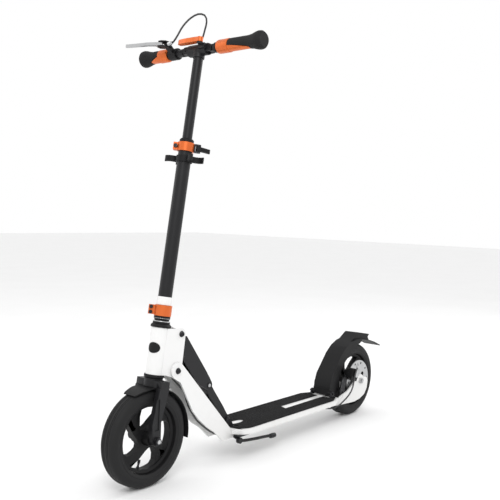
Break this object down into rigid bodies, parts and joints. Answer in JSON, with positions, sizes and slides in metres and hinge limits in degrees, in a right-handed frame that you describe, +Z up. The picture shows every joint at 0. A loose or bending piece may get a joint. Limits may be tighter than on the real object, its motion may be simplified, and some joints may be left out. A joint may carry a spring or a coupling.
{
  "type": "kick scooter",
  "caption": "Kick scooter with large tyres, a folding column and handlebar arms, sliding bar height, hand disc brake, foot brake and kickstand.",
  "frame": {"origin": "on the floor, under the middle of the scooter's length", "axes": "+X forward, +Y to the rider's left, +Z up"},
  "size_m": [1.142, 0.406, 1.1265],
  "materials": {
    "white_paint": "gloss white powder coat on aluminium",
    "black_paint": "satin black powder coat on aluminium",
    "grip_sheet": "matte gritty anti-slip sheet",
    "black_plastic": "matte black moulded plastic",
    "tyre": "matte black tyre rubber",
    "rubber": "matte black rubber",
    "orange_anodised": "satin orange anodised",
    "bright_steel": "satin bright steel",
    "dark_steel": "satin blackened steel"
  },
  "bodies": {
    "deck": {"deck": "white_paint", "grip_mat": "grip_sheet", "neck": "white_paint", "fold_bolt": "dark_steel", "strut_bracket": "black_paint", "strut_low_pin": "dark_steel", "stay_left": "white_paint", "stay_right": "white_paint", "rear_axle": "bright_steel", "rear_nut": "bright_steel", "caliper_bracket": "dark_steel", "caliper": "black_plastic", "foot_brake_pin": "dark_steel", "kickstand_bracket": "black_paint", "brake_cable_lower": "rubber"},
    "caliper_arm": {"caliper_arm": "bright_steel"},
    "foot_brake": {"rear_fender": "black_plastic"},
    "kickstand": {"kickstand": "black_paint"},
    "lower_link": {"strut_lower_link": "black_paint"},
    "upper_link": {"strut_upper_link": "black_paint"},
    "head": {"head_casting": "white_paint", "head_cup_low": "black_plastic", "head_cup_high": "black_plastic", "strut_top_bolt": "dark_steel", "head_badge": "black_plastic"},
    "column": {"headset_nut": "black_plastic", "fork": "black_paint", "front_fender": "black_plastic", "front_axle": "bright_steel", "front_nut": "dark_steel", "stem_clamp": "orange_anodised", "stem_clamp_bolt_low": "dark_steel", "stem_clamp_bolt_high": "dark_steel", "stem_sleeve": "white_paint", "stem_tube": "black_paint", "height_clamp": "orange_anodised", "height_clamp_bolt": "dark_steel", "height_lever_post": "dark_steel", "stem_bush": "black_plastic", "grip_clips": "black_plastic"},
    "height_lever": {"height_lever": "black_plastic"},
    "front_wheel": {"front_tyre": "tyre", "front_rim": "black_plastic", "front_valve": "dark_steel"},
    "rear_wheel": {"rear_tyre": "tyre", "rear_rim": "black_plastic", "brake_rotor": "bright_steel"},
    "handlebar": {"upper_tube": "black_paint", "bar_tee": "black_paint", "brake_cable_upper": "rubber"},
    "bar_lever": {"bar_lever": "orange_anodised"},
    "arm_left": {"arm_left": "black_paint", "grip_core_left": "orange_anodised", "grip_pad_left": "rubber"},
    "arm_right": {"arm_right": "black_paint", "grip_core_right": "orange_anodised", "grip_pad_right": "rubber", "brake_lever_clamp": "black_plastic"},
    "brake_lever": {"brake_lever": "bright_steel"}
  },
  "joints": [
    {"name": "fold", "type": "hinge", "parent": "deck", "child": "head", "pos_m": [0.378, 0, 0.264], "axis": [0, -1, 0], "range_deg": [0, 80], "deforming": ["brake_cable_lower"]},
    {"name": "strut_low", "type": "hinge", "parent": "deck", "child": "lower_link", "pos_m": [0.179, 0, 0.103], "axis": [0, -1, 0], "range_deg": [0, 65.22]},
    {"name": "strut_top", "type": "hinge", "parent": "head", "child": "upper_link", "pos_m": [0.363, 0, 0.3505], "axis": [0, -1, 0], "range_deg": [-118.71, 0]},
    {"name": "steering", "type": "hinge", "parent": "head", "child": "column", "pos_m": [0.42002, 0, 0.31243], "axis": [-0.1599, 0, 0.9871], "range_deg": [-45, 45]},
    {"name": "height_slide", "type": "slide", "parent": "column", "child": "handlebar", "axis": [-0.1599, 0, 0.9871], "range_m": [-0.18, 0], "deforming": ["brake_cable_upper"]},
    {"name": "height_lever_turn", "type": "hinge", "parent": "column", "child": "height_lever", "pos_m": [0.32237, 0.02298, 0.79477], "axis": [0.1599, 0, -0.9871], "range_deg": [0, 95]},
    {"name": "bar_lever_turn", "type": "hinge", "parent": "handlebar", "child": "bar_lever", "pos_m": [0.32613, 0.0245, 1.05476], "axis": [-0.1599, 0, 0.9871], "range_deg": [0, 95]},
    {"name": "arm_left_fold", "type": "hinge", "parent": "handlebar", "child": "arm_left", "pos_m": [0.30283, 0.04, 1.036], "axis": [-0.9871, 0, -0.1599], "range_deg": [0, 90]},
    {"name": "arm_right_fold", "type": "hinge", "parent": "handlebar", "child": "arm_right", "pos_m": [0.30283, -0.04, 1.036], "axis": [0.9871, 0, 0.1599], "range_deg": [0, 90], "deforming": ["brake_cable_upper"]},
    {"name": "brake_lever_squeeze", "type": "hinge", "parent": "arm_right", "child": "brake_lever", "pos_m": [0.3381, -0.1, 1.05589], "axis": [0.1599, 0, -0.9871], "range_deg": [0, 13], "stiffness_Nm_per_rad": 0.8, "springref_deg": -11.46},
    {"name": "caliper_arm_pull", "type": "hinge", "parent": "deck", "child": "caliper_arm", "pos_m": [-0.37326, 0.063, 0.14311], "axis": [0, -1, 0], "range_deg": [0, 20]},
    {"name": "foot_brake_press", "type": "hinge", "parent": "deck", "child": "foot_brake", "pos_m": [-0.276, 0, 0.095], "axis": [0, -1, 0], "range_deg": [0, 3], "stiffness_Nm_per_rad": 20, "springref_deg": -1.72},
    {"name": "kickstand_swing", "type": "hinge", "parent": "deck", "child": "kickstand", "pos_m": [0.171, 0.049, 0.054], "axis": [0, -0.31, -0.9507], "range_deg": [0, 90]},
    {"name": "front_wheel_spin", "type": "hinge", "parent": "column", "child": "front_wheel", "pos_m": [0.456, 0, 0.115], "axis": [0, 1, 0], "continuous": true},
    {"name": "rear_wheel_spin", "type": "hinge", "parent": "deck", "child": "rear_wheel", "pos_m": [-0.424, 0, 0.115], "axis": [0, 1, 0], "continuous": true}
  ],
  "couplings": [
    {"joint": "strut_low", "follows": "fold", "ratio": 0.809},
    {"joint": "strut_top", "follows": "fold", "ratio": -1.4776},
    {"joint": "caliper_arm_pull", "follows": "brake_lever_squeeze", "ratio": 1.4}
  ]
}
